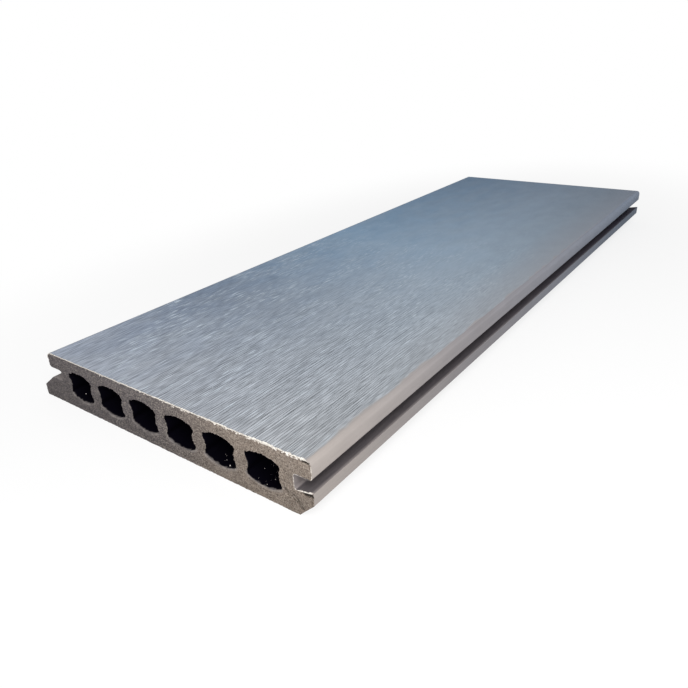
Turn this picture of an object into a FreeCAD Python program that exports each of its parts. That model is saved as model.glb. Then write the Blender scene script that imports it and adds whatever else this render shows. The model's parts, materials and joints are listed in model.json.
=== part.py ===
import FreeCAD, Part
import math
import os
import Sketcher

# Extruded hollow composite decking board: one solid.
# Millimetres. X runs across the board, Y along it away from the sawn near end, Z up.
# The origin is on the underside, halfway across (toe included) and halfway along.

os.makedirs("parts", exist_ok=True)
doc = FreeCAD.newDocument("decking_board")

# Driving dimensions in millimetres, chamberCount a plain number
drivingSizes = [
    ("boardLength", 390, "length of the piece"),
    ("faceWidth", 140, "walking face, lip edge to lip edge"),
    ("boardHeight", 22.5, "underside to walking face"),
    ("toeReach", 8.5, "left toe, out past the edge of the face"),
    ("toeTipHeight", 4.8, "upright end of the left toe"),
    ("lipHeight", 6.85, "upper lips, walking face to groove roof"),
    ("grooveMouth", 4.9, "height of the side grooves at their mouths"),
    ("grooveDepth", 7.5, "side grooves, in from the edges of the face"),
    ("floorFall", 1.3, "right groove floor, fall towards the inside"),
    ("underBevel", 6.2, "bevel under the right lower lip, each way"),
    ("chamberCount", 6, "lengthwise chambers"),
    ("topWall", 4.8, "walking face to chamber crowns"),
    ("bottomWall", 4.8, "underside to chamber crowns"),
    ("sideWall", 6.3, "groove wall to the waist of the end chamber"),
    ("webWaist", 6.4, "web between two chambers at their waists"),
    ("crownRise", 2.53, "chamber crowns, beyond the corners"),
    ("waistBow", 1.64, "chamber waists, in from the corners"),
    ("chamberRound", 1.6, "rounding of the chamber corners"),
    ("rightArris", 2, "rounding of the walking face's right edge"),
    ("leftArris", 2.8, "rounding of the walking face's left edge"),
    ("lipRound", 1, "rounding under the upper lips and of the toe's end"),
    ("grooveRound", 1, "rounding inside the grooves"),
]

# Sizes that follow from them, as sheet formulas
followingSizes = [
    ("rightEdge", "=(faceWidth + toeReach) / 2"),
    ("leftEdge", "=rightEdge - faceWidth"),
    ("toeEnd", "=leftEdge - toeReach"),
    ("bevelStart", "=rightEdge - underBevel"),
    ("rightGrooveWall", "=rightEdge - grooveDepth"),
    ("leftGrooveWall", "=leftEdge + grooveDepth"),
    ("underside", "=0"),
    ("grooveRoof", "=boardHeight - lipHeight"),
    ("grooveSill", "=grooveRoof - grooveMouth"),
    ("rightGrooveFloor", "=grooveSill - floorFall"),
    ("chamberHeight", "=boardHeight - topWall - bottomWall"),
    ("chamberMiddle", "=bottomWall + chamberHeight / 2"),
    ("chamberZone", "=faceWidth - 2 * (grooveDepth + sideWall)"),
    ("waistWidth", "=(chamberZone - (chamberCount - 1) * webWaist) / chamberCount"),
    ("chamberPitch", "=waistWidth + webWaist"),
    ("patternLength", "=chamberPitch * (chamberCount - 1)"),
    ("chamberAxis", "=leftGrooveWall + sideWall + waistWidth / 2"),
    ("halfWidth", "=waistWidth / 2 + waistBow"),
    ("halfHeight", "=chamberHeight / 2 - crownRise"),
    ("crownHigh", "=boardHeight - topWall"),
    ("waistLeft", "=chamberAxis - waistWidth / 2"),
    ("waistRight", "=chamberAxis + waistWidth / 2"),
    ("cornerLeft", "=chamberAxis - halfWidth"),
    ("cornerRight", "=chamberAxis + halfWidth"),
    ("cornerLow", "=chamberMiddle - halfHeight"),
    ("cornerHigh", "=chamberMiddle + halfHeight"),
    ("crownRadius", "=(halfWidth ^ 2 + crownRise ^ 2) / (2 * crownRise)"),
    ("waistRadius", "=(halfHeight ^ 2 + waistBow ^ 2) / (2 * waistBow)"),
    ("cornerRound", "=min(chamberRound; 0.42 * halfHeight)"),
]

sheet = doc.addObject("Spreadsheet::Sheet", "Sizes")
for row, (name, number, note) in enumerate(drivingSizes, 1):
    sheet.set(f"A{row}", note)
    sheet.set(f"B{row}", str(number))
    sheet.setAlias(f"B{row}", name)
for row, (name, formula) in enumerate(followingSizes, len(drivingSizes) + 2):
    sheet.set(f"A{row}", name)
    sheet.set(f"B{row}", formula)
    sheet.setAlias(f"B{row}", name)
doc.recompute()


def size(name):
    """Current value of a named size."""
    return float(sheet.get(name))


def corner(across, up):
    """Section point at two named sizes, as a sketch vector."""
    return FreeCAD.Vector(size(across), size(up), 0)


def sectionSketch(body, name):
    """Empty sketch on the body's own XZ plane, halfway along the board."""
    sketch = body.newObject("Sketcher::SketchObject", name)
    plane = next(f for f in body.Origin.OriginFeatures if f.Role == "XZ_Plane")
    sketch.AttachmentSupport = [(plane, "")]
    sketch.MapMode = "FlatFace"
    return sketch


def holdCorners(sketch, ends):
    """Hold every corner at its two named sizes and join the pieces that meet there.

    ends gives each piece's start and end corner, a corner being a pair of size names.
    """
    firstAt = {}
    for piece, corners in enumerate(ends):
        for point, corner in enumerate(corners, 1):
            if corner in firstAt:
                joint = Sketcher.Constraint("Coincident", *firstAt[corner], piece, point)
                sketch.addConstraint(joint)
                continue
            firstAt[corner] = (piece, point)
            for kind, sizeName in zip(("DistanceX", "DistanceY"), corner):
                rule = Sketcher.Constraint(kind, -1, 1, piece, point, size(sizeName))
                bindToSize(sketch, sketch.addConstraint(rule), sizeName)


def bindToSize(sketch, constraintIndex, sizeName):
    """Let a named size drive one constraint of a sketch."""
    sketch.setExpression(f"Constraints[{constraintIndex}]", f"Sizes.{sizeName}")


def longEdges(shape, places):
    """Names of the lengthwise edges that pass through the given section points."""
    found = []
    for number, edge in enumerate(shape.Edges, 1):
        start, end = edge.Vertexes[0].Point, edge.Vertexes[-1].Point
        if abs(end.y - start.y) < 0.99 * size("boardLength"):
            continue
        if any(math.hypot(start.x - across, start.z - up) < 0.01 for across, up in places):
            found.append(f"Edge{number}")
    if len(found) != len(places):
        raise RuntimeError(f"{len(found)} long edges found, {len(places)} expected")
    return found


def roundEdges(body, name, places, sizeName):
    """Round lengthwise edges of the body, given by their section points."""
    base = body.Tip
    feature = body.newObject("PartDesign::Fillet", name)
    feature.Base = (base, longEdges(base.Shape, places))
    feature.setExpression("Radius", f"Sizes.{sizeName}")
    doc.recompute()


board = doc.addObject("PartDesign::Body", "Board")
board.Label = "board"

# Outline of the section, anticlockwise from the foot of the toe
outline = [
    ("toeEnd", "underside"),
    ("bevelStart", "underside"),
    ("rightEdge", "underBevel"),
    ("rightEdge", "grooveSill"),
    ("rightGrooveWall", "rightGrooveFloor"),
    ("rightGrooveWall", "grooveRoof"),
    ("rightEdge", "grooveRoof"),
    ("rightEdge", "boardHeight"),
    ("leftEdge", "boardHeight"),
    ("leftEdge", "grooveRoof"),
    ("leftGrooveWall", "grooveRoof"),
    ("leftGrooveWall", "grooveSill"),
    ("leftEdge", "grooveSill"),
    ("toeEnd", "toeTipHeight"),
]
outlineSketch = sectionSketch(board, "OutlineSketch")
outlineEnds = list(zip(outline, outline[1:] + outline[:1]))
for start, end in outlineEnds:
    outlineSketch.addGeometry(Part.LineSegment(corner(*start), corner(*end)), False)
holdCorners(outlineSketch, outlineEnds)

extrusion = board.newObject("PartDesign::Pad", "Extrusion")
extrusion.Profile = outlineSketch
extrusion.SideType = "Symmetric"
extrusion.setExpression("Length", "Sizes.boardLength")
doc.recompute()
solidVolume = extrusion.Shape.Volume

# One chamber: crowns above and below, and sides that bow in to a waist.
# Each arc runs anticlockwise about its own centre: start, a point on the way, end.
chamberArcs = [
    (("cornerRight", "cornerHigh"), ("waistRight", "chamberMiddle"), ("cornerRight", "cornerLow")),
    (("cornerRight", "cornerHigh"), ("chamberAxis", "crownHigh"), ("cornerLeft", "cornerHigh")),
    (("cornerLeft", "cornerLow"), ("waistLeft", "chamberMiddle"), ("cornerLeft", "cornerHigh")),
    (("cornerLeft", "cornerLow"), ("chamberAxis", "bottomWall"), ("cornerRight", "cornerLow")),
]
arcRadii = ["waistRadius", "crownRadius", "waistRadius", "crownRadius"]
chamberSketch = sectionSketch(board, "ChamberSketch")
for start, through, end in chamberArcs:
    chamberSketch.addGeometry(Part.Arc(corner(*start), corner(*through), corner(*end)), False)
holdCorners(chamberSketch, [(start, end) for start, through, end in chamberArcs])
for piece, sizeName in enumerate(arcRadii):
    rule = Sketcher.Constraint("Radius", piece, size(sizeName))
    bindToSize(chamberSketch, chamberSketch.addConstraint(rule), sizeName)

firstChamber = board.newObject("PartDesign::Pocket", "FirstChamber")
firstChamber.Profile = chamberSketch
firstChamber.SideType = "Symmetric"
firstChamber.Type = "ThroughAll"
doc.recompute()

chambers = board.newObject("PartDesign::LinearPattern", "Chambers")
chambers.Originals = [firstChamber]
chambers.Direction = (chamberSketch, ["H_Axis"])
chambers.setExpression("Length", "Sizes.patternLength")
chambers.setExpression("Occurrences", "Sizes.chamberCount")
board.Tip = chambers
doc.recompute()

# Volume that the chambers take out, to see that every one of them was cut
oneChamber = solidVolume - firstChamber.Shape.Volume
allChambers = solidVolume - chambers.Shape.Volume
if oneChamber <= 0 or abs(allChambers / oneChamber - size("chamberCount")) > 0.001:
    raise RuntimeError("a chamber is missing")

chamberCorners = [
    (size(side) + number * size("chamberPitch"), size(level))
    for number in range(int(size("chamberCount")))
    for side in ("cornerLeft", "cornerRight")
    for level in ("cornerLow", "cornerHigh")
]
roundEdges(board, "ChamberRounds", chamberCorners, "cornerRound")


def places(*corners):
    """Section points of some outline corners."""
    return [(size(across), size(up)) for across, up in corners]


roundEdges(board, "RightArris", places(("rightEdge", "boardHeight")), "rightArris")
roundEdges(board, "LeftArris", places(("leftEdge", "boardHeight")), "leftArris")
roundEdges(board, "LipRounds", places(
    ("leftEdge", "grooveRoof"),
    ("rightEdge", "grooveRoof"),
    ("toeEnd", "toeTipHeight"),
    ("toeEnd", "underside"),
), "lipRound")
roundEdges(board, "GrooveRounds", places(
    ("leftGrooveWall", "grooveRoof"),
    ("leftGrooveWall", "grooveSill"),
    ("rightGrooveWall", "grooveRoof"),
    ("rightGrooveWall", "rightGrooveFloor"),
), "grooveRound")

for item in doc.Objects:
    if "Invalid" in item.State or "Error" in item.State:
        raise RuntimeError(f"{item.Name} failed: {item.State}")

shape = board.Shape
if shape.isNull() or not shape.isValid() or len(shape.Solids) != 1:
    raise RuntimeError("the board isn't one valid solid")
bounds = shape.optimalBoundingBox()
print(f"{board.Label}: {bounds.XLength:.2f} x {bounds.YLength:.2f} x {bounds.ZLength:.2f} mm")
print(f"volume {shape.Volume / 1000:.1f} cm3, chamber pitch {size('chamberPitch'):.2f} mm")
shape.exportStep(f"parts/{board.Label}.step")
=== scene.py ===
# Decking board in the studio: brushed walking face, smooth edges, sawn ends. Metres.
from bisect import bisect
import json
import math
import random
import bmesh
import bpy
from mathutils import Euler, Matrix, Vector, kdtree, noise

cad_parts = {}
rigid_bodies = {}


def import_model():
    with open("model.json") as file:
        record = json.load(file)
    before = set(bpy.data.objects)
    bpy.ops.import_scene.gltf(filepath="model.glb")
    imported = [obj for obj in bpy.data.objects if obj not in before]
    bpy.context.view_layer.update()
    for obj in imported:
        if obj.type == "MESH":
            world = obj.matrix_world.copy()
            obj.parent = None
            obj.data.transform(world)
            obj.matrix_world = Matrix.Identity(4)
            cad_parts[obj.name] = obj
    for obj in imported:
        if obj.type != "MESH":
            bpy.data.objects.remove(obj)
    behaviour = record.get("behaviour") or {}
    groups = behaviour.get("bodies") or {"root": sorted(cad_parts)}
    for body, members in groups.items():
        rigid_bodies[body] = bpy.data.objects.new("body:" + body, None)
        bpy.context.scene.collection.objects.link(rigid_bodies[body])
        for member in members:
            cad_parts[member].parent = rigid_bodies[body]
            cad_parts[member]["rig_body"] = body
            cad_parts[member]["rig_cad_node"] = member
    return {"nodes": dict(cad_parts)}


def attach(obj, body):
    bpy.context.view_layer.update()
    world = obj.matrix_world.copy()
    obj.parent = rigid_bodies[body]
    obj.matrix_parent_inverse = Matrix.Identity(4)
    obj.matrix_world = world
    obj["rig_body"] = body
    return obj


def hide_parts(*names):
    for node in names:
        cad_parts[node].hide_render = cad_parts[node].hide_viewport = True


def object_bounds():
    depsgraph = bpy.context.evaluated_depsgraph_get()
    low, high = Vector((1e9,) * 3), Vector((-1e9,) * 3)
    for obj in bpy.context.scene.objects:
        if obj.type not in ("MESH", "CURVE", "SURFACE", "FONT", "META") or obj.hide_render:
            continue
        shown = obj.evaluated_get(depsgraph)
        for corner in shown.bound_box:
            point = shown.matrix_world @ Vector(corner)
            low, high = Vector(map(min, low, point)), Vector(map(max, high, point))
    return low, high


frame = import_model()
cadLow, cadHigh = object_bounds()
boardNode = frame["nodes"]["board"]
mm = 0.001  # one millimetre
faceTop = cadHigh.z
nearEnd = cadLow.y
farEnd = cadHigh.y
rightEdge = cadHigh.x
leftEdge = rightEdge - 140 * mm   # the toe stands out past this edge of the face
touching = 0.01 * mm              # places nearer than this are the same
print("frame loaded:", len(boardNode.data.polygons), "triangles in the board")


# Lengths given in millimetres, as a tuple in metres
def lengths(*numbers):
    return tuple(number * mm for number in numbers)


# Makes one object active and selected, and nothing else
def pick(piece):
    bpy.ops.object.select_all(action="DESELECT")
    piece.select_set(True)
    bpy.context.view_layer.objects.active = piece


# Goes into edit mode on one object, with all of it shown and nothing selected
def openMesh(piece, mode="FACE"):
    pick(piece)
    bpy.ops.object.mode_set(mode="EDIT")
    bpy.ops.mesh.select_mode(type=mode)
    bpy.ops.mesh.reveal(select=False)
    bpy.ops.mesh.select_all(action="DESELECT")


def closeMesh():
    bpy.ops.mesh.reveal(select=False)
    bpy.ops.object.mode_set(mode="OBJECT")


# Selects the faces whose middle and normal pass the test, in edit mode
def selectFaces(piece, test):
    bpy.ops.mesh.select_all(action="DESELECT")
    mesh = bmesh.from_edit_mesh(piece.data)
    for face in mesh.faces:
        if not face.hide and test(face.calc_center_median(), face.normal):
            face.select_set(True)
    bmesh.update_edit_mesh(piece.data)


# Hides all but the faces that pass the test
def showOnly(piece, test):
    bpy.ops.mesh.reveal(select=False)
    selectFaces(piece, test)
    bpy.ops.mesh.hide(unselected=True)


def addToScene(piece):
    bpy.context.scene.collection.objects.link(piece)


# A merged copy of the board's own solid, with no material
def copyNode(name):
    piece = boardNode.copy()
    piece.data = boardNode.data.copy()
    addToScene(piece)
    piece.name = name
    piece.data.name = name
    piece.parent = None
    piece.hide_viewport = piece.hide_render = False
    del piece["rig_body"]
    del piece["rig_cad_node"]
    piece.data.materials.clear()
    openMesh(piece)
    bpy.ops.mesh.select_all(action="SELECT")
    bpy.ops.mesh.remove_doubles(threshold=0.002 * mm)
    bpy.ops.mesh.customdata_custom_splitnormals_clear()
    bpy.ops.object.mode_set(mode="OBJECT")
    return piece


# Cuts the shown faces along planes square to one axis
def cutShown(places, axis):
    normal = Vector([float(k == axis) for k in range(3)])
    for place in places:
        bpy.ops.mesh.select_all(action="SELECT")
        bpy.ops.mesh.bisect(plane_co=normal * place, plane_no=normal)
    bpy.ops.mesh.select_all(action="DESELECT")


# Evenly spaced places between two ends, neither of them included
def evenPlaces(start, end, step):
    count = round((end - start) / step)
    return [start + (end - start) * k / count for k in range(1, count)]


# Places whose spacing grows from first by a fixed ratio, up to largest
def growingPlaces(start, end, first, ratio, largest):
    places, step = [], first
    place = start + step
    while place < end:
        places.append(place)
        step = min(step * ratio, largest)
        place += step
    return places


# 0 below low, 1 above high, and even in between
def ramp(value, low, high):
    return min(max((value - low) / (high - low), 0.0), 1.0)


# A vertex group whose weight is worked out from each point's place
def weighPoints(piece, name, weight):
    group = piece.vertex_groups.new(name=name)
    for point in piece.data.vertices:
        amount = weight(point.co)
        if amount > 0:
            group.add([point.index], amount, "REPLACE")


# A number kept at each point of a mesh, which a material reads by its name
def keepAtPoints(piece, name, amount):
    kept = piece.data.attributes.new(name, "FLOAT", "POINT")
    kept.data.foreach_set("value", [amount(point.co) for point in piece.data.vertices])


# Perlin noise of a place counted in cells, about -0.6 to 0.6
def lumps(place, cell, seed=0.0):
    return noise.noise(Vector([side / cell + seed for side in place]))


# Carves a piece inwards by a cloud pattern, stretched by an empty and held to a vertex group.
# The pattern's values up to low are carved to the full depth, and those from high on not at all;
# a level of 0.5 moves the surface both ways.
def carve(piece, group, depth, stretch, direction, low=0.2, high=0.8, detail=1, level=1.0, shift=0.0):
    texture = bpy.data.textures.new(group, "CLOUDS")
    texture.noise_scale = 1.0
    texture.noise_depth = detail
    texture.use_color_ramp = True
    for stop, place, shade in ((0, low, 0.0), (1, high, 1.0)):
        texture.color_ramp.elements[stop].position = place
        texture.color_ramp.elements[stop].color = (shade, shade, shade, 1.0)
    holder = bpy.data.objects.new("stretch", None)
    addToScene(holder)
    holder.scale = stretch
    holder.location.x = shift
    bpy.context.view_layer.update()
    modifier = piece.modifiers.new("carve", "DISPLACE")
    modifier.texture = texture
    modifier.texture_coords = "OBJECT"
    modifier.texture_coords_object = holder
    modifier.vertex_group = group
    modifier.direction = direction
    modifier.mid_level = level
    modifier.strength = depth
    pick(piece)
    bpy.ops.object.modifier_apply(modifier=modifier.name)
    bpy.data.objects.remove(holder)
    bpy.data.textures.remove(texture)


# Moves a vertex group by a distance along one axis, each point by its weight
def push(piece, group, distance, direction):
    modifier = piece.modifiers.new("push", "DISPLACE")
    modifier.vertex_group = group
    modifier.direction = direction
    modifier.mid_level = 0.0
    modifier.strength = distance
    pick(piece)
    bpy.ops.object.modifier_apply(modifier=modifier.name)


# Materials are node trees that read Object coordinates and the numbers kept at points
def startMaterial(name):
    material = bpy.data.materials.new(name)
    material.use_nodes = True
    return material, material.node_tree, material.node_tree.nodes["Principled BSDF"]


# Adds a node, sets its options, and sets or links its inputs
def addNode(tree, kind, inputs=None, **options):
    node = tree.nodes.new("ShaderNode" + kind)
    for option, value in options.items():
        setattr(node, option, value)
    for socket, value in (inputs or {}).items():
        if isinstance(value, bpy.types.NodeSocket):
            tree.links.new(value, node.inputs[socket])
        else:
            node.inputs[socket].default_value = value
    return node


# Object coordinates counted in cells of the given size
def cells(tree, size, turn=(0, 0, 0), shift=(0, 0, 0)):
    place = addNode(tree, "TexCoord").outputs["Object"]
    scale = tuple(1 / side for side in size)
    mapping = addNode(tree, "Mapping", {"Vector": place, "Scale": scale, "Location": shift,
                                        "Rotation": tuple(math.radians(a) for a in turn)})
    return mapping.outputs["Vector"]


def noiseOf(tree, size, detail=2.0, roughness=0.5, turn=(0, 0, 0), shift=(0, 0, 0)):
    node = addNode(tree, "TexNoise", {"Vector": cells(tree, size, turn, shift), "Scale": 1.0,
                                      "Detail": detail, "Roughness": roughness})
    return node.outputs["Fac"]


def between(tree, value, low, high, toLow=0.0, toHigh=1.0, smooth=False):
    node = addNode(tree, "MapRange", {"Value": value, "From Min": low, "From Max": high,
                                      "To Min": toLow, "To Max": toHigh})
    node.interpolation_type = "SMOOTHSTEP" if smooth else "LINEAR"
    return node.outputs["Result"]


def mathOf(tree, operation, first, second=0.0, clamp=False):
    node = addNode(tree, "Math", {0: first, 1: second}, operation=operation, use_clamp=clamp)
    return node.outputs["Value"]


def product(tree, first, *others):
    for other in others:
        first = mathOf(tree, "MULTIPLY", first, other)
    return first


def mixColour(tree, factor, first, second, kind="MIX"):
    node = addNode(tree, "Mix", {0: factor, 6: first, 7: second}, data_type="RGBA", blend_type=kind)
    return node.outputs[2]


# A colour times a grey tone
def toneColour(tree, ground, tone):
    grey = addNode(tree, "CombineColor", {0: tone, 1: tone, 2: tone}).outputs[0]
    return mixColour(tree, 1.0, ground, grey, "MULTIPLY")


def placeOf(tree):
    place = addNode(tree, "TexCoord").outputs["Object"]
    return addNode(tree, "SeparateXYZ", {"Vector": place}).outputs


def keptAtPoints(tree, name):
    return addNode(tree, "Attribute", attribute_name=name).outputs["Fac"]


def bumpOf(tree, height, distance, strength=1.0):
    node = addNode(tree, "Bump", {"Height": height, "Distance": distance, "Strength": strength})
    return node.outputs["Normal"]


# 1 for rays from the camera and from glossy or clear surfaces, 0 for the light on the object
def seenDirectly(tree):
    path = addNode(tree, "LightPath").outputs
    mirrored = mathOf(tree, "MAXIMUM", path["Is Glossy Ray"], path["Is Transmission Ray"])
    return mathOf(tree, "MAXIMUM", path["Is Camera Ray"], mirrored)


# The colour of a surface, and the gloss that is the same all over it
def setSurface(tree, shader, look, ground):
    tree.links.new(ground, shader.inputs["Base Color"])
    shader.inputs["Roughness"].default_value = look["roughness"]
    shader.inputs["Specular IOR Level"].default_value = look["specular"]


# An sRGB colour, 0 to 255, as the linear numbers that a node takes
def colour(red, green, blue):
    parts = [part / 255 for part in (red, green, blue)]
    return tuple(p / 12.92 if p <= 0.04045 else ((p + 0.055) / 1.055) ** 2.4 for p in parts) + (1.0,)


brushedFinish = {
    # near, middle and far are painted darker and bluer along the board: a painted falloff of the light and a
    # painted bluish reflection
    "near": colour(174, 177, 181),
    "middle": colour(160, 174, 188),
    "far": colour(144, 155, 169),
    # Painted shade and bluish painted reflection on the left side, at the sawn end, a fifth along and from
    # the middle on
    "nearLeftTint": (0.79, 0.85, 0.98, 1.0),
    "fifthLeftTint": (0.54, 0.61, 0.73, 1.0),
    "farLeftTint": (0.69, 0.845, 0.99, 1.0),
    "tintCell": lengths(11, 24, 10),
    "paintedHighlight": colour(208, 220, 230),
    "streakCell": lengths(0.5, 7, 10),
    "patchCell": lengths(12, 30, 10),  # the streaks and flecks come in patches
    "fleckPaintedShadow": colour(112, 122, 134),
    "fleckCell": lengths(0.9, 4.5, 10),
    "grainCell": lengths(0.36, 6, 10),
    "grainSwing": (0.3, 0.02),         # how far the grain shades the face, near and further along
    "grainRelief": 0.06 * mm,
    "blotchCell": lengths(8, 15, 10),
    "groove": 0.22,                    # share of its colour that the bottom of a line keeps, a painted shade in the line
    "lineDepth": 0.14 * mm,            # a line's painted shade is full from this depth on
    "rightShade": 0.19,                # how far the face darkens to the right, further along
    "stripShade": 0.14,                # and beside the strip, near the sawn end
    "strip": colour(164, 157, 153),    # the smooth strip beside the right edge
    # further along the strip is painted darker and bluer, a painted falloff of the light and a painted bluish
    # reflection
    "farStrip": colour(143, 150, 164),
    "stripWidth": 2.9 * mm,
    "stripWave": 1.0 * mm,             # how far the strip's border strays either way
    "stripBlend": 1.3 * mm,            # width of that border
    "borderCell": lengths(9, 11, 9),
    "spreadWidth": 24 * mm,            # further along, the strip's colour spreads this far
    "torn": colour(238, 234, 226),
    "roughness": 0.8,
    "roughnessSwing": 0.08,
    "specular": 0.03,
}


def brushedMaterial():
    look = brushedFinish
    material, tree, shader = startMaterial("brushedFace")
    place = placeOf(tree)
    along = between(tree, place["Y"], nearEnd, farEnd)
    # The colour is painted darker and bluer along the board, a painted falloff of the light and a painted
    # bluish reflection
    ground = mixColour(tree, between(tree, along, 0.0, 0.5), look["near"], look["middle"])
    ground = mixColour(tree, between(tree, along, 0.5, 1.0), ground, look["far"])
    # The left side is painted darker and bluer, unevenly: a painted shade and a painted bluish reflection
    tint = mixColour(tree, between(tree, along, 0.0, 0.2), look["nearLeftTint"], look["fifthLeftTint"])
    tint = mixColour(tree, between(tree, along, 0.22, 0.5), tint, look["farLeftTint"])
    bluer = noiseOf(tree, look["tintCell"], detail=2, shift=(0, 5, 0))
    leftPaintedReflection = product(tree, between(tree, place["X"], rightEdge, leftEdge),
                       between(tree, bluer, 0.3, 0.7, 0.8, 1.15))
    ground = mixColour(tree, leftPaintedReflection, ground, mixColour(tree, 1.0, ground, tint, "MULTIPLY"))
    # Short pale streaks, painted highlights of reflected light, in patches, and none near the far end
    streaks = noiseOf(tree, look["streakCell"], detail=1, shift=(3, 0, 0))
    patches = noiseOf(tree, look["patchCell"], detail=2)
    shown = product(tree, between(tree, streaks, 0.58, 0.68), between(tree, patches, 0.4, 0.62, 0.15, 0.85),
                    between(tree, along, 0.22, 0.58, 0.85, 0.0),
                    between(tree, place["X"], 0.015, 0.045, 1.0, 0.5))
    ground = mixColour(tree, shown, ground, look["paintedHighlight"])
    # Small flecks across the middle of the board, where the lines have faded: painted highlights and painted
    # shadows of small bumps
    flecks = noiseOf(tree, look["fleckCell"], detail=1, shift=(0, 9, 0))
    flecked = product(tree, between(tree, along, 0.12, 0.3), between(tree, along, 0.68, 0.42),
                      between(tree, patches, 0.42, 0.6, 0.1, 1.0))
    pale = product(tree, flecked, between(tree, flecks, 0.6, 0.72, 0.0, 0.28))
    dark = product(tree, flecked, between(tree, flecks, 0.4, 0.28, 0.0, 0.25))
    ground = mixColour(tree, pale, ground, look["paintedHighlight"])
    ground = mixColour(tree, dark, ground, look["fleckPaintedShadow"])
    # Lines are painted darker with their depth, a painted shade in their bottoms, and fine grain runs the
    # same way
    depth = between(tree, place["Z"], faceTop - look["lineDepth"], faceTop, look["groove"], 1.0)
    fine = noiseOf(tree, look["grainCell"], detail=1)
    blotch = noiseOf(tree, look["blotchCell"], detail=3)
    grain = product(tree, between(tree, along, 0.1, 0.5, *look["grainSwing"]),
                    between(tree, fine, 0.3, 0.7, -1.0, 1.0))
    # The face darkens a little towards its right edge, and near the sawn end beside the strip
    rightward = product(tree, between(tree, place["X"], 0.02, rightEdge, 0.0, look["rightShade"]),
                        between(tree, along, 0.22, 0.5, 0.1, 1.0))
    besideStrip = between(tree, place["X"], rightEdge - 14 * mm, rightEdge - 4 * mm,
                          0.0, look["stripShade"])
    besideStrip = product(tree, besideStrip, between(tree, along, 0.15, 0.5, 1.0, 0.0))
    shaded = mathOf(tree, "ADD", rightward, besideStrip)
    tone = product(tree, depth, mathOf(tree, "ADD", grain, 1.0), between(tree, blotch, 0.3, 0.7, 0.96, 1.04),
                   mathOf(tree, "SUBTRACT", 1.0, shaded))
    toned = toneColour(tree, ground, tone)
    # The smooth strip has a wavy border, and further along its colour spreads over the face
    border = noiseOf(tree, look["borderCell"], detail=3)
    inner = rightEdge - look["stripWidth"]
    inner = between(tree, border, 0.3, 0.7, inner - look["stripWave"], inner + look["stripWave"])
    inStrip = mathOf(tree, "SUBTRACT", place["X"], inner)
    inStrip = mathOf(tree, "DIVIDE", inStrip, look["stripBlend"], clamp=True)
    spread = product(tree, between(tree, place["X"], rightEdge - look["spreadWidth"], rightEdge),
                     between(tree, along, 0.1, 0.5, 0.0, 0.6))
    toned = mixColour(tree, mathOf(tree, "MAXIMUM", inStrip, spread), toned,
                      mixColour(tree, along, look["strip"], look["farStrip"]))
    toned = mixColour(tree, tornOf(tree), toned, look["torn"])
    tree.links.new(toned, shader.inputs["Base Color"])
    rough, swing = look["roughness"], look["roughnessSwing"]
    tree.links.new(between(tree, streaks, 0.3, 0.7, rough + swing, rough - swing), shader.inputs["Roughness"])
    relief = product(tree, fine, between(tree, along, 0.15, 0.5, 1.0, 0.1))
    tree.links.new(bumpOf(tree, relief, look["grainRelief"]), shader.inputs["Normal"])
    shader.inputs["Specular IOR Level"].default_value = look["specular"]
    return material


# Where the saw has torn the rim pale, with ragged borders
def tornOf(tree):
    ragged = noiseOf(tree, lengths(0.45, 0.45, 0.45), detail=2)
    torn = keptAtPoints(tree, "torn")
    frayed = between(tree, mathOf(tree, "ADD", torn, ragged), 0.72, 1.02)
    return product(tree, frayed, between(tree, torn, 0.02, 0.2))


smoothFinish = {
    "near": colour(168, 160, 155),
    "middle": colour(142, 139, 142),
    "far": colour(135, 145, 161),
    "leftNear": colour(148, 152, 162),  # the left edge and its groove carry the face's painted bluish reflection there
    "leftFar": colour(138, 150, 166),
    "hueTurn": 55 * mm,                 # where the hue starts and stops to turn, either way of the middle
    "dieLineCell": lengths(0.7, 120, 0.7),
    "dieLineRelief": 0.05 * mm,
    "blotchCell": lengths(5, 14, 5),
    "lowerLip": 0.86,                   # share of its colour that the part below the groove keeps
    "lowerLipTop": lengths(10, 12),     # heights where the part below the groove starts and stops to end
    "farPaintedShade": 0.3,
    "paintedShadeHeights": lengths(20, 15.7),   # no painted shade from the first one up, all of it from the second down
    "roughness": 0.75,
    "specular": 0.05,
}


def smoothMaterial():
    look = smoothFinish
    material, tree, shader = startMaterial("smoothEdge")
    place = placeOf(tree)
    along = between(tree, place["Y"], nearEnd, farEnd)
    onLeft = between(tree, place["X"], look["hueTurn"], -look["hueTurn"])
    # Painted darker and bluer along the board and on the left, a painted falloff of the light and a painted
    # bluish reflection
    ground = mixColour(tree, between(tree, along, 0.0, 0.28), look["near"], look["middle"])
    ground = mixColour(tree, between(tree, along, 0.3, 0.9), ground, look["far"])
    ground = mixColour(tree, onLeft, ground, mixColour(tree, along, look["leftNear"], look["leftFar"]))
    dieLines = noiseOf(tree, look["dieLineCell"], detail=2)
    blotch = noiseOf(tree, look["blotchCell"], detail=3)
    # The lower lips are a little darker, and the far stretch is painted darker towards the ground, a painted
    # shade
    lip = between(tree, place["Z"], *look["lowerLipTop"], look["lowerLip"], 1.0)
    lipPaintedShade = product(tree, between(tree, place["Z"], *look["paintedShadeHeights"]),
                    between(tree, along, 0.45, 0.9, 0.0, look["farPaintedShade"]))
    tone = product(tree, between(tree, dieLines, 0.3, 0.7, 0.97, 1.03),
                   between(tree, blotch, 0.3, 0.7, 0.96, 1.04), lip, mathOf(tree, "SUBTRACT", 1.0, lipPaintedShade))
    tree.links.new(bumpOf(tree, dieLines, look["dieLineRelief"]), shader.inputs["Normal"])
    setSurface(tree, shader, look, toneColour(tree, ground, tone))
    return material


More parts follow.
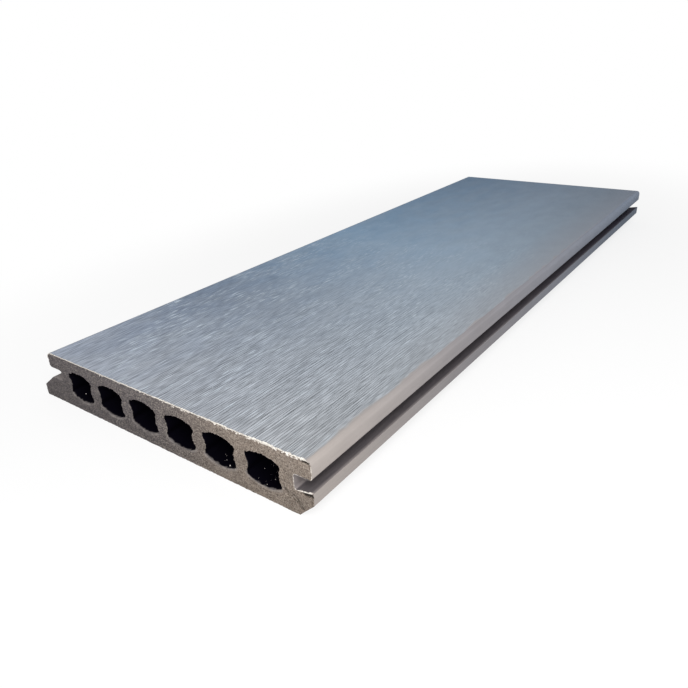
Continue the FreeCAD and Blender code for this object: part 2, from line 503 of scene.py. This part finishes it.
# The groove in the right edge is painted dark, a painted shade in its recess
grooveFinish = {
    "mouth": colour(150, 142, 140),
    "inside": colour(92, 87, 89),
    "farMouth": colour(86, 88, 100),
    "farInside": colour(52, 50, 63),
    "mouthReach": 1.3 * mm,         # it is as pale as the edge at its mouth, and painted dark this far in
    "cleanReach": lengths(4, 9),    # from the saw cut to where the painted shade on its back wall starts and stops to grow
    "backWall": lengths(7.2, 6.7),  # depths where the back wall ends, and floor and roof begin
    "shadeMottleCell": lengths(1.5, 9, 1.5),
    "roughness": 0.75,
    "specular": 0.05,
}


def grooveMaterial():
    look = grooveFinish
    material, tree, shader = startMaterial("grooveWall")
    place = placeOf(tree)
    side = mathOf(tree, "ABSOLUTE", place["X"])
    inward = between(tree, side, rightEdge - 0.1 * mm, rightEdge - look["mouthReach"])
    clean, shadeFull = look["cleanReach"]
    fromSaw = between(tree, place["Y"], nearEnd + clean, nearEnd + shadeFull, 0.25, 1.0)
    # The floor and roof are painted in shade right up to the saw cut, the back wall less so near the cut
    wall, floor = look["backWall"]
    onFloor = between(tree, side, rightEdge - wall, rightEdge - floor)
    shadeMottle = noiseOf(tree, look["shadeMottleCell"], detail=3)
    # How far the groove is painted dark, a painted shade, unevenly
    shade = product(tree, inward, mathOf(tree, "MAXIMUM", fromSaw, onFloor),
                    between(tree, shadeMottle, 0.3, 0.6, 0.85, 1.0))
    along = between(tree, place["Y"], nearEnd, farEnd)
    mouth = mixColour(tree, along, look["mouth"], look["farMouth"])
    inside = mixColour(tree, along, look["inside"], look["farInside"])
    setSurface(tree, shader, look, mixColour(tree, shade, mouth, inside))
    return material


sawnFinish = {
    # The near end is painted darker on its left than on its right, a painted shade
    "right": colour(138, 125, 114),
    "left": colour(90, 85, 88),
    "fibre": colour(178, 168, 157),
    "pit": colour(60, 54, 50),
    "torn": colour(232, 226, 216),
    "sill": colour(152, 145, 141),    # the smooth rim under a chamber
    "chipShadeDepth": lengths(0.42, 0.75),  # where the painted shade in a chip starts and is full
    "speckleCell": lengths(0.55, 0.55, 0.55),
    "speckleRelief": 0.3 * mm,
    "grainCell": lengths(0.4, 0.4, 0.4),
    "patchCell": lengths(3.5, 3.5, 2.5),
    "scratchCell": lengths(6, 6, 0.45),
    "scratchTurn": (0, -52, 0),       # degrees
    "roughness": 0.85,
    "specular": 0.12,
}


def sawnMaterial():
    look = sawnFinish
    material, tree, shader = startMaterial("sawnEnd")
    place = placeOf(tree)
    # The near end is painted darker towards its left, a painted shade; the far end is as light all over as
    # the right of the near one
    rightward = mathOf(tree, "MAXIMUM", between(tree, place["X"], leftEdge, rightEdge),
                       between(tree, place["Y"], 0.0, farEnd))
    ground = mixColour(tree, between(tree, rightward, 0.42, 0.85, smooth=True), look["left"], look["right"])
    speckle = noiseOf(tree, look["speckleCell"], detail=3, roughness=0.65)
    grains = noiseOf(tree, look["grainCell"], detail=1, shift=(4, 0, 0))
    patches = noiseOf(tree, look["patchCell"], detail=3)
    scratches = noiseOf(tree, look["scratchCell"], detail=1, turn=look["scratchTurn"])
    # The grain shows most on the right
    plain = ground
    ground = mixColour(tree, between(tree, speckle, 0.5, 0.68, 0.0, 0.8), ground, look["fibre"])
    ground = mixColour(tree, between(tree, speckle, 0.48, 0.32, 0.0, 0.9), ground, look["pit"])
    ground = mixColour(tree, between(tree, grains, 0.6, 0.7, 0.0, 0.7), ground, look["fibre"])
    ground = mixColour(tree, between(tree, rightward, 0.0, 0.5, 0.55, 1.0), plain, ground)
    # Darker towards the underside
    tone = product(tree, between(tree, patches, 0.3, 0.7, 0.88, 1.12),
                   between(tree, scratches, 0.35, 0.6, 0.88, 1.05),
                   between(tree, place["Z"], 0.0, faceTop, 0.8, 1.06))
    toned = toneColour(tree, ground, tone)
    # Chips are painted darker with their depth, a painted shade in their hollows
    shallow, deep = look["chipShadeDepth"]
    fromMiddle = mathOf(tree, "ABSOLUTE", place["Y"])
    toned = mixColour(tree, between(tree, fromMiddle, farEnd - shallow, farEnd - deep), toned, look["pit"])
    sill = product(tree, keptAtPoints(tree, "sill"), between(tree, patches, 0.4, 0.6, 0.15, 0.6))
    toned = mixColour(tree, sill, toned, look["sill"])
    tree.links.new(bumpOf(tree, speckle, look["speckleRelief"]), shader.inputs["Normal"])
    setSurface(tree, shader, look, mixColour(tree, tornOf(tree), toned, look["torn"]))
    return material


# The chamber walls are painted near black a little way in from the saw cuts, a painted shade
chamberFinish = {
    "rim": colour(116, 111, 110),
    # near black, a painted shade inside the chamber
    "wall": colour(4, 3, 10),
    "rimReach": 0.7 * mm,           # how far in the rim's colour goes
    "raggedCell": lengths(1.6, 1.6, 1.6),
    "floorLight": lengths(8, 5.5),  # it goes further in below these heights
    "roughness": 0.7,
    "specular": 0.03,
}


def chamberMaterial():
    look = chamberFinish
    material, tree, shader = startMaterial("chamberWall")
    place = placeOf(tree)
    fromMiddle = mathOf(tree, "ABSOLUTE", place["Y"])
    ragged = noiseOf(tree, look["raggedCell"], detail=2)
    # The floor of a chamber catches the light further in
    lower = between(tree, place["Z"], *look["floorLight"], 0.6, 1.4)
    reach = product(tree, between(tree, ragged, 0.3, 0.7, 0.5, 1.5), look["rimReach"], lower)
    start = mathOf(tree, "SUBTRACT", farEnd, reach)
    beyond = mathOf(tree, "SUBTRACT", fromMiddle, start)
    lit = mathOf(tree, "DIVIDE", beyond, product(tree, reach, 0.6), clamp=True)
    setSurface(tree, shader, look, mixColour(tree, lit, look["wall"], look["rim"]))
    return material


burrFinish = {
    "pale": colour(247, 241, 232),
    "dull": colour(188, 178, 170),
    "roughness": 0.8,
    "specular": 0.2,
}


def burrMaterial():
    look = burrFinish
    material, tree, shader = startMaterial("tornBurr")
    fibres = noiseOf(tree, lengths(0.5, 0.5, 0.5), detail=2)
    setSurface(tree, shader, look,
               mixColour(tree, between(tree, fibres, 0.35, 0.6), look["dull"], look["pale"]))
    return material


boardLook = {
    "firstRow": 0.3 * mm,            # rows get longer away from the sawn end
    "rowGrowth": 1.05,
    "longestRow": 4.0 * mm,
    "nearRings": lengths(0.9, 2.6),  # short rings round the ends of the board, this far in
    "farRing": 1.2 * mm,
    "endCell": 0.42 * mm,            # side of a cell on the sawn end
    "farEndCell": 1.1 * mm,
    "sawDepth": 0.1 * mm,            # the burr stands this far in front of the sawn face
    "rightBand": 3.2 * mm,           # smooth strip along the right edge
    "leftBand": 3.4 * mm,
}

# Where the forms of the section lie: heights above the floor, and distances from the face's edges
zones = {
    "rounding": 3 * mm,            # the rounded edges lie this near the walking face
    "groove": lengths(9.3, 15.8),  # heights that the grooves lie between
    "grooveDepth": 7.7 * mm,
    "toeTop": 10.7 * mm,           # the left groove lies above it
    "chamberSide": 10 * mm,        # the six chambers lie further in than this
    "chamberWall": 3 * mm,         # and this far from the faces above and below
}

# Brushed lines: fine grooves side by side, each with its own depth that comes and goes along it
lineLook = {
    "seed": 7,
    "pitch": (0.72, 1.4),          # millimetres from one line to the next, least and most
    "halfWidth": (0.13, 0.21),
    "share": (0.7, 1.1),           # of the full depth
    "depth": 0.26 * mm,
    "strength": 0.85,              # on the whole, and how far it swings over which length
    "slowSwing": (0.45, 60 * mm),
    "quickSwing": (0.55, 9 * mm),
    "leftStrength": 0.3,           # share that is left of it on the left side
    "weakening": (-0.045, 0.035),  # where across the board it changes to that
    "ridge": 0.045,                # how far a ridge may lie down, as a share of the depth
    "ridgeSwing": (1.2, 30 * mm),
    "fade": (-0.165, -0.045),      # where along the board the lines start and stop to fade
    "faded": 0.03,
    "sway": 0.16 * mm,
    "swayCell": lengths(24, 40),
    "swayEdge": lengths(3, 9),     # none up to the first distance from an edge, all from the second
    "dyingOut": 3.6 * mm,          # the lines die out this far from the strip on the right
}


def planLines():
    look = lineLook
    draw = random.Random(look["seed"])
    lines = []
    place = leftEdge + boardLook["leftBand"]
    while place < rightEdge - boardLook["rightBand"]:
        half = draw.uniform(*look["halfWidth"]) * mm
        gap = draw.uniform(*look["pitch"])
        # Lines that stand further apart are deeper, so that the face is evenly dark
        share = draw.uniform(*look["share"]) * gap / look["pitch"][1]
        lines.append({"place": place + gap * mm / 2, "half": half, "share": share})
        place += gap * mm
    return lines


lines = planLines()
linePlaces = [line["place"] for line in lines]


def isTop(middle, normal):
    return normal.z > 0.99 and middle.z > faceTop - 0.1 * mm


def isRounded(middle, normal):
    return normal.z > 0.05 and middle.z > faceTop - zones["rounding"] and not isTop(middle, normal)


def isNearEnd(middle, normal):
    return normal.y < -0.9


def isFarEnd(middle, normal):
    return normal.y > 0.9


# Floor, wall and roof of a side groove, all within its depth of the edge
def isGroove(middle, normal):
    floor, roof = zones["groove"]
    depth = zones["grooveDepth"]
    right = rightEdge - depth < middle.x < rightEdge - 0.05 * mm
    left = middle.x < leftEdge + depth and middle.z > zones["toeTop"]
    return abs(normal.y) < 0.5 and floor < middle.z < roof and (right and normal.x > -0.5 or left)


def isChamber(middle, normal):
    side, wall = zones["chamberSide"], zones["chamberWall"]
    inZone = leftEdge + side < middle.x < rightEdge - side and wall < middle.z < faceTop - wall
    return inZone and abs(normal.y) < 0.5


def cutBoard():
    look = boardLook
    board = copyNode("dressed_board")
    openMesh(board)
    selectFaces(board, lambda m, n: abs(n.y) < 0.5)
    bpy.ops.mesh.dissolve_limited(angle_limit=math.radians(0.2))
    # Short rings at both ends, so that the torn rims don't reach down the walls
    bpy.ops.mesh.reveal(select=False)
    cutShown([nearEnd + ring for ring in look["nearRings"]] + [farEnd - look["farRing"]], 1)
    # The sides and the middle of each line, and cells on both ends
    showOnly(board, isTop)
    cutShown([line["place"] + side * line["half"] for line in lines for side in (-1, 0, 1)], 0)
    for test, cell in ((isNearEnd, look["endCell"]), (isFarEnd, look["farEndCell"])):
        showOnly(board, test)
        cutShown(evenPlaces(cadLow.x, cadHigh.x, cell), 0)
        cutShown(evenPlaces(0.0, faceTop, cell), 2)
    # Rows along the walking face and its rounded edges
    showOnly(board, lambda m, n: isTop(m, n) or isRounded(m, n))
    cutShown(growingPlaces(nearEnd, farEnd - look["firstRow"], look["firstRow"],
                           look["rowGrowth"], look["longestRow"]), 1)
    closeMesh()
    return board


# One material for each finish, put on the faces by where they are
def paintBoard(board):
    finishes = [
        (smoothMaterial(), lambda m, n: True),
        (brushedMaterial(), isTop),
        (chamberMaterial(), isChamber),
        (grooveMaterial(), isGroove),
        (sawnMaterial(), lambda m, n: isNearEnd(m, n) or isFarEnd(m, n)),
    ]
    openMesh(board)
    for index, (material, test) in enumerate(finishes):
        board.data.materials.append(material)
        selectFaces(board, test)
        board.active_material_index = index
        bpy.ops.object.material_slot_assign()
    closeMesh()


# Noise along one line: how far it swings, over which length
def swingOf(swing, row, along, seed):
    amount, length = swing
    return amount * noise.noise(Vector((row, along / length, seed)))


# Depth of the lines at a point of the walking face, 0 to 1
def lineDepth(place):
    look = lineLook
    after = min(max(bisect(linePlaces, place.x), 1), len(lines) - 1)
    nearest = min((after - 1, after), key=lambda k: abs(place.x - linePlaces[k]))
    line = lines[nearest]
    strength = look["strength"] + swingOf(look["slowSwing"], nearest * 5.3, place.y, 1.7)
    strength += swingOf(look["quickSwing"], nearest * 2.9, place.y, 8.1)
    onLeft = look["leftStrength"]
    strength *= line["share"] * (onLeft + (1 - onLeft) * ramp(place.x, *look["weakening"]))
    kept = 1 - (1 - look["faded"]) * ramp(place.y, *look["fade"])
    strength *= kept
    depth = ramp(abs(place.x - line["place"]), line["half"], 0.0) * min(max(strength, 0.0), 1.0)
    ridge = (0.5 + swingOf(look["ridgeSwing"], after * 3.7, place.y, 5.2)) * look["ridge"] * kept
    leftSide = leftEdge + boardLook["leftBand"]
    inside = ramp(place.x, leftSide, leftSide + boardLook["leftBand"])
    stripSide = rightEdge - boardLook["rightBand"]
    inside *= ramp(place.x, stripSide, stripSide - look["dyingOut"])
    return max(depth, ridge, 0.0) * inside


# How far a line strays sideways, which dies out towards the edges
def swayShare(place):
    across, along = lineLook["swayCell"]
    fromEdges = min(place.x - leftEdge, rightEdge - place.x)
    stray = 0.5 + 0.8 * noise.noise(Vector((place.x / across, place.y / along, 3.3)))
    return ramp(fromEdges, *lineLook["swayEdge"]) * min(max(stray, 0.0), 1.0)


# Chips and saw scratches in the sawn end, in millimetres but for the depth
chipLook = {
    "depth": 0.75 * mm,
    "border": 0.35,        # a mark gets shallower over this width
    "ragged": (0.7, 1.7),  # how far its width swings, and how often in a millimetre
    # From and to across and up, half width, and share of the full depth
    "marks": (
        ((70.6, 9.3), (73.6, 9.5), 0.55, 1.0),
        ((70.0, 21.55), (73.2, 21.3), 0.3, 0.8),
        ((62.3, 8.0), (69.4, 2.6), 0.18, 0.6),
        ((64.7, 7.5), (70.0, 4.0), 0.16, 0.45),
        ((66.2, 6.6), (69.9, 2.9), 0.16, 0.5),
        ((63.2, 6.2), (67.6, 2.2), 0.16, 0.4),
    ),
}


def chipShare(place):
    look = chipLook
    swing, often = look["ragged"]
    across, up = place.x / mm, place.z / mm
    spot = Vector((across, up))
    deepest = 0.0
    for start, end, width, share in look["marks"]:
        start, run = Vector(start), Vector(end) - Vector(start)
        along = min(max((spot - start).dot(run) / run.length_squared, 0.0), 1.0)
        away = (spot - start - run * along).length
        ragged = width * (1 + swing * noise.noise(Vector((across * often, up * often, 4.2))))
        deepest = max(deepest, share * ramp(away, ragged + look["border"], ragged))
    return deepest


# The torn, pale rim of the sawn end, narrow on the left and wide on the right
tornLook = {
    "left": 0.1 * mm,
    "right": 0.43 * mm,
    "fullFrom": rightEdge - 12 * mm,  # as wide as it gets from here on
    "ending": lengths(3, 1.2),        # distances from the right edge where it gets narrow and ends
    "fray": 0.3 * mm,                 # width of its border
    "depth": 0.3 * mm,                # how far the torn rim lies down
    "coarse": (1.1, 3.4 * mm),        # how uneven it is, and over which length
    "fine": (0.8, 0.9 * mm),
    # Swollen stretches: middle and half width across the board in millimetres, and growth
    "swellings": ((55.5, 2.5, 0.75), (65.0, 3.0, 0.8)),
}


# Grows from small on the left to large on the right, and more in the swollen stretches
def grownAcross(across, small, large):
    size = small + (large - small) * ramp(across, leftEdge, tornLook["fullFrom"]) ** 2
    for middle, half, growth in tornLook["swellings"]:
        size *= 1 + growth * ramp(abs(across / mm - middle), half, 0.0)
    return size


def tornWidth(across):
    look = tornLook
    narrow, gone = look["ending"]
    wide = grownAcross(across, look["left"], look["right"])
    wide *= ramp(across, rightEdge - gone, rightEdge - narrow)
    coarse, coarseCell = look["coarse"]
    fine, fineCell = look["fine"]
    uneven = 0.7 + coarse * noise.noise(Vector((across / coarseCell, 0.4, 2.2)))
    uneven += fine * noise.noise(Vector((across / fineCell, 3.4, 7.2)))
    return wide * max(uneven, 0.15)


# 1 on the torn rim, and 0 away from it
def tornShare(place):
    width, fray = tornWidth(place.x), tornLook["fray"]
    if place.z > faceTop - touching:
        return ramp(place.y, nearEnd + width + fray, nearEnd + width)
    if place.y < nearEnd + touching:
        hanging = faceTop - 0.6 * width
        return ramp(place.z, hanging - fray, hanging)
    return 0.0


def carveBoard(board):
    look = boardLook
    onTop = faceTop - touching
    atNear = nearEnd + touching
    atFar = farEnd - touching

    # Rim of a chamber at a sawn end
    def onChamberRim(place):
        return chamberRims.find(place)[2] < touching

    # The sawn end just under a chamber's floor
    def sillShare(place):
        rim, index, away = chamberRims.find(place)
        under = ramp(place.z - rim.z, 0.25 * mm, -0.1 * mm)
        near = ramp(away, 1.1 * mm, 0.6 * mm)
        return under * ramp(rim.z, 10 * mm, 7 * mm) * near

    points = board.data.vertices
    rimPoints = set()
    for face in board.data.polygons:
        if isChamber(face.center, face.normal):
            rimPoints.update(v for v in face.vertices if abs(points[v].co.y) > atFar)
    chamberRims = kdtree.KDTree(len(rimPoints))
    for index in rimPoints:
        chamberRims.insert(points[index].co, index)
    chamberRims.balance()

    weighPoints(board, "lines", lambda p: lineDepth(p) if p.z > onTop else 0)
    weighPoints(board, "sway", lambda p: swayShare(p) if p.z > onTop else 0)
    weighPoints(board, "tornRim", tornShare)
    weighPoints(board, "sawnEnd", lambda p: 1.0 if p.y < atNear else 0)
    weighPoints(board, "farSawnEnd", lambda p: 0.8 if p.y > atFar else 0)
    weighPoints(board, "chips", lambda p: chipShare(p) if p.y < atNear else 0)
    weighPoints(board, "chamberRims", lambda p: 1.0 if onChamberRim(p) else 0)
    keepAtPoints(board, "torn", tornShare)
    keepAtPoints(board, "sill", lambda p: sillShare(p) if p.y < atNear else 0)
    push(board, "sway", lineLook["sway"], "X")
    push(board, "lines", -lineLook["depth"], "Z")
    # The sawn face lies back behind the burr
    push(board, "sawnEnd", look["sawDepth"], "Y")
    carve(board, "sawnEnd", -0.12 * mm, lengths(2.4, 2.4, 2.4), "Y", low=0.3, high=0.7, detail=2)
    carve(board, "sawnEnd", -0.14 * mm, lengths(0.7, 0.7, 0.7), "Y", low=0.25, high=0.6)
    carve(board, "sawnEnd", 0.06 * mm, lengths(0.9, 0.9, 0.9), "NORMAL", low=0.25, high=0.6, shift=0.02)
    carve(board, "farSawnEnd", 0.2 * mm, lengths(1.5, 1.5, 1.5), "Y", low=0.25, high=0.7)
    for direction, shift in (("X", 0.0), ("Z", 0.03)):
        carve(board, "chamberRims", 0.45 * mm, lengths(0.9, 0.9, 0.9), direction,
              low=0.3, high=0.7, detail=2, level=0.5, shift=shift)
    carve(board, "tornRim", tornLook["depth"], lengths(0.8, 0.8, 0.8), "Z", low=0.3, high=0.7)
    push(board, "chips", chipLook["depth"], "Y")
    pick(board)
    bpy.ops.object.shade_smooth_by_angle(angle=math.radians(38))


board = cutBoard()
print("board cut:", len(board.data.polygons), "faces")
paintBoard(board)
carveBoard(board)
print("board carved:", sum(len(f.vertices) - 2 for f in board.data.polygons), "triangles")
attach(board, "root")
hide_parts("board")


# The torn burr round the sawn end: a lumpy bead on the rim and the slivers that hang from it
burrLook = {
    "step": 0.4 * mm,             # length of one stretch of the bead
    "leftSize": 0.11 * mm,        # half the bead's thickness along the walking face
    "rightSize": 0.21 * mm,
    "sideSize": 0.09 * mm,        # and down the right edge
    "ledgeSize": 0.34 * mm,       # and along the lower lip
    "ledge": lengths(9.4, 11.2),  # heights that the lower lip's rim lies between
    "inset": 1.15,                # how far in from the rim it lies, in half thicknesses
    "flakes": 150,
    "flakeSize": (0.3, 1.0),      # millimetres, least and most length
    "hanging": 0.4,               # share of the slivers that hang in front of the sawn face
    "seed": 11,
}


def beadSize(place):
    look = burrLook
    uneven = 0.8 + 0.9 * lumps(place, 2.4 * mm, 5.1) + 1.1 * lumps(place, 0.8 * mm, 9.4)
    low, high = look["ledge"]
    size = look["sideSize"]
    if place.z > faceTop - 1.2 * mm:
        size = grownAcross(place.x, look["leftSize"], look["rightSize"])
        size *= ramp(place.x, rightEdge - 0.8 * mm, rightEdge - 4 * mm) * 0.7 + 0.3
    elif low < place.z < high:
        outward = ramp(place.x, rightEdge - 6 * mm, rightEdge - 3 * mm)
        size += (look["ledgeSize"] - size) * outward
    return size * min(max(uneven, 0.15), 1.6)


def buildBurr():
    look = burrLook
    burr = copyNode("saw_burr")
    openMesh(burr, "EDGE")
    mesh = bmesh.from_edit_mesh(burr.data)
    for edge in mesh.edges:
        middle = (edge.verts[0].co + edge.verts[1].co) / 2
        onRim = all(abs(v.co.y - nearEnd) < touching for v in edge.verts)
        sharp = len(edge.link_faces) == 2 and edge.calc_face_angle() > math.radians(45)
        top = middle.z > faceTop - zones["rounding"]
        right = middle.x > rightEdge - 8 * mm and middle.z > 9 * mm
        edge.select_set(onRim and sharp and (top or right))
    bmesh.update_edit_mesh(burr.data)
    bpy.ops.mesh.select_all(action="INVERT")
    bpy.ops.mesh.delete(type="EDGE")
    # Stretches no longer than the step
    for cuts in (9, 3, 3, 3):
        bpy.ops.mesh.select_all(action="DESELECT")
        mesh = bmesh.from_edit_mesh(burr.data)
        for edge in mesh.edges:
            edge.select_set(edge.calc_length() > look["step"] * (cuts + 1) / 2)
        bmesh.update_edit_mesh(burr.data)
        bpy.ops.mesh.subdivide(number_cuts=cuts)
    bpy.ops.object.mode_set(mode="OBJECT")
    bpy.ops.object.convert(target="CURVE")
    burr = bpy.context.active_object
    burr.data.dimensions = "3D"
    burr.data.bevel_depth = 1.0
    burr.data.bevel_resolution = 1
    burr.data.use_fill_caps = True
    for spline in burr.data.splines:
        for point in spline.points:
            place = point.co.xyz
            size = beadSize(place)
            inset = look["inset"] * size
            point.radius = size
            place.y += inset
            place.z -= inset * ramp(place.z, faceTop - 3 * mm, faceTop - 1.5 * mm)
            place.x -= inset * ramp(place.x, rightEdge - 2.5 * mm, rightEdge - mm)
            point.co = (*place, 1.0)
    bpy.ops.object.convert(target="MESH")
    return bpy.context.active_object


# Flattens what stands out past the walking face, the sawn end or the right edge
def trimToBoard(piece):
    openMesh(piece, "VERT")
    for axis, limit, side in ((2, faceTop, 1), (1, nearEnd, -1), (0, rightEdge, 1)):
        bpy.ops.mesh.select_all(action="DESELECT")
        mesh = bmesh.from_edit_mesh(piece.data)
        for point in mesh.verts:
            point.select_set((point.co[axis] - limit) * side > 0)
        mesh.select_flush(True)
        bmesh.update_edit_mesh(piece.data)
        if piece.data.total_vert_sel:
            centre = [limit * (k == axis) for k in range(3)]
            bpy.ops.transform.resize(value=[float(k != axis) for k in range(3)], center_override=centre)
    bpy.ops.object.mode_set(mode="OBJECT")


# A small rough lump: a cube that is cut, rounded and shaken
def startLump(roundness, roughness, seed):
    bpy.ops.mesh.primitive_cube_add(size=1.0, location=(0, 0, 0))
    lump = bpy.context.active_object
    bpy.ops.object.mode_set(mode="EDIT")
    bpy.ops.mesh.select_all(action="SELECT")
    bpy.ops.mesh.subdivide(number_cuts=1)
    bpy.ops.transform.tosphere(value=roundness)
    bpy.ops.transform.vertex_random(offset=roughness, seed=seed)
    bpy.ops.object.mode_set(mode="OBJECT")
    return lump


# A copy of a lump with a mesh of its own
def copyLump(lump, place, shape, angles):
    piece = lump.copy()
    piece.data = lump.data.copy()
    addToScene(piece)
    piece.location = place
    piece.scale = shape
    piece.rotation_euler = angles
    return piece


# Joins the copies into one piece, with their places in its mesh
def joinLumps(lump, copies, name):
    bpy.data.objects.remove(lump)
    pick(copies[0])
    for piece in copies:
        piece.select_set(True)
    bpy.ops.object.join()
    joined = bpy.context.active_object
    bpy.ops.object.transform_apply(location=True, rotation=True, scale=True)
    joined.name = name
    joined.data.name = name
    return joined


# One sliver is modelled, and its copies lie on the rim or hang in front of it
def buildFlakes():
    look = burrLook
    draw = random.Random(look["seed"])
    sliver = startLump(0.8, 0.1, look["seed"])
    copies = []
    for number in range(look["flakes"]):
        share = draw.random() ** 0.6
        across = leftEdge + 20 * mm + share * (rightEdge - leftEdge - 22.5 * mm)
        size = draw.uniform(*look["flakeSize"]) * mm * (0.45 + 0.55 * share)
        hanging = draw.random() < look["hanging"]
        tilt = math.radians(draw.uniform(-12, 12))
        turn = math.radians(draw.uniform(-35, 35))
        if hanging:
            place = (across, nearEnd + 0.14 * mm, faceTop - draw.uniform(0.35, 0.9) * mm)
            copies.append(copyLump(sliver, place, (size, 0.16 * mm, 0.55 * size), (0, turn, 0)))
        else:
            inward = draw.uniform(0.5, 0.9) * size + 0.1 * mm
            place = (across, nearEnd + inward, faceTop - 0.22 * mm)
            copies.append(copyLump(sliver, place, (size, 0.6 * size, 0.2 * mm), (tilt, 0, turn)))
    return joinLumps(sliver, copies, "burr_flakes")


burrFibre = burrMaterial()
burr = buildBurr()
flakes = buildFlakes()
for piece in (burr, flakes):
    trimToBoard(piece)
    piece.data.materials.clear()
    piece.data.materials.append(burrFibre)
    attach(piece, "root")
print("burr:", len(burr.data.polygons), "faces, flakes:", len(flakes.data.polygons))


# Crumbs of sawdust on the chamber floors, most of them in the right chambers
crumbLook = {
    "firstAxis": leftEdge + 20.5 * mm,     # middle of the leftmost chamber
    "pitch": 19.8 * mm,
    "chamberFloor": 4.8 * mm,
    "floorRadius": 15.0 * mm,              # the floor is an arc across
    # Across and in from the sawn end, and size, of the ones that stand out, in millimetres
    "large": ((-49.7, 3.8, 0.24), (36.6, 1.7, 0.34), (45.9, 6.1, 0.17), (48.3, 6.3, 0.17),
              (54.3, 4.8, 0.18), (53.7, 1.4, 0.2)),
    "count": 46,
    "chambers": (0, 2, 4, 4, 5, 5, 5, 5),  # the others lie in one of these, counted from the left
    "reach": 12 * mm,                      # how far in they lie
    "size": (0.06, 0.13),                  # millimetres, least and most
    "seed": 5,
}


def buildCrumbs():
    look = crumbLook
    draw = random.Random(look["seed"])
    crumb = startLump(0.7, 0.12, look["seed"])
    spots = [lengths(*spot) for spot in look["large"]]
    for number in range(look["count"]):
        across = look["firstAxis"] + draw.choice(look["chambers"]) * look["pitch"]
        spots.append((across + draw.uniform(-5.5, 5.5) * mm, draw.uniform(0.15, 1.0) * look["reach"],
                      draw.uniform(*look["size"]) * mm))
    copies = []
    for across, inward, size in spots:
        fromFirst = across - look["firstAxis"]
        offset = fromFirst - look["pitch"] * round(fromFirst / look["pitch"])
        rise = look["floorRadius"] - math.sqrt(look["floorRadius"] ** 2 - offset ** 2)
        place = (across, nearEnd + inward, look["chamberFloor"] + rise + 0.35 * size)
        angles = [draw.uniform(0, 3) for axis in range(3)]
        copies.append(copyLump(crumb, place, (size, size, size), angles))
    return joinLumps(crumb, copies, "sawdust_crumbs")


crumbs = buildCrumbs()
crumbs.data.materials.append(burrFibre)
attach(crumbs, "root")


# Studio: a pale floor that keeps the shadow, soft lamps, and a background that the camera sees white
studio = {
    "floorSize": 6.0,
    "floorColour": (0.82, 0.82, 0.82, 1.0),
    "white": (1.0, 1.0, 1.0, 1.0),
    "floorGlow": 0.76,           # share of the floor's white that the camera sees in any light
    "plainFloor": (0.13, 0.24),  # half width and half length of the area where the shadow shows
    "worldLight": 0.36,
    "keyPower": 4.0,
    "keySize": 0.45,
    "keyPlace": (0.36, -0.44, 0.42),
    "keyAim": (0.0, -0.12, 0.0),
}


def buildFloor():
    look = studio
    bpy.ops.mesh.primitive_plane_add(size=look["floorSize"], location=(0, 0, 0))
    floor = bpy.context.active_object
    floor.name = "floor"
    material, tree, shader = startMaterial("paleFloor")
    shader.inputs["Roughness"].default_value = 0.9
    shader.inputs["Specular IOR Level"].default_value = 0.0
    place = addNode(tree, "TexCoord").outputs["Object"]
    halfWidth, halfLength = look["plainFloor"]
    spread = addNode(tree, "VectorMath", {0: place, 1: (1 / halfWidth, 1 / halfLength, 1)},
                     operation="MULTIPLY")
    away = addNode(tree, "VectorMath", {0: spread.outputs["Vector"]}, operation="LENGTH").outputs["Value"]
    rim = between(tree, away, 0.8, 2.0, look["floorGlow"], 1.0, smooth=True)
    seen = seenDirectly(tree)
    tree.links.new(mixColour(tree, seen, look["floorColour"], look["white"]), shader.inputs["Base Color"])
    glow = addNode(tree, "Emission", {"Color": look["white"], "Strength": 1.0}).outputs[0]
    mixed = addNode(tree, "MixShader", {0: product(tree, rim, seen), 1: shader.outputs[0], 2: glow})
    tree.links.new(mixed.outputs[0], tree.nodes["Material Output"].inputs["Surface"])
    floor.data.materials.append(material)


def buildLight():
    look = studio
    lamp = bpy.data.lights.new("key", "AREA")
    lamp.energy = look["keyPower"]
    lamp.size = look["keySize"]
    key = bpy.data.objects.new("key", lamp)
    addToScene(key)
    key.location = look["keyPlace"]
    away = Vector(look["keyPlace"]) - Vector(look["keyAim"])
    key.rotation_euler = away.to_track_quat("Z", "Y").to_euler()
    world = bpy.data.worlds.new("studio")
    bpy.context.scene.world = world
    world.use_nodes = True
    tree = world.node_tree
    background = tree.nodes["Background"]
    seen = seenDirectly(tree)
    background.inputs["Color"].default_value = look["white"]
    tree.links.new(between(tree, seen, 0.0, 1.0, look["worldLight"], 1.0), background.inputs["Strength"])


# The camera stands where the photograph was taken from, near the right corner of the sawn end
cameraSetup = {
    "place": (172.9 * mm, -306.0 * mm, 132.3 * mm),
    "turn": (64.05, 2.61, 35.91),  # degrees about X, Y and Z
    "lens": 32.61,                 # millimetres on a 36 mm sensor
}


def buildCamera():
    look = cameraSetup
    data = bpy.data.cameras.new("camera")
    data.lens = look["lens"]
    data.sensor_width = 36.0
    data.clip_start = 0.01
    camera = bpy.data.objects.new("camera", data)
    addToScene(camera)
    camera.location = look["place"]
    camera.rotation_euler = Euler([math.radians(angle) for angle in look["turn"]])
    bpy.context.scene.camera = camera


buildFloor()
buildLight()
buildCamera()
bpy.context.scene.view_settings.view_transform = "Standard"
print("studio set")
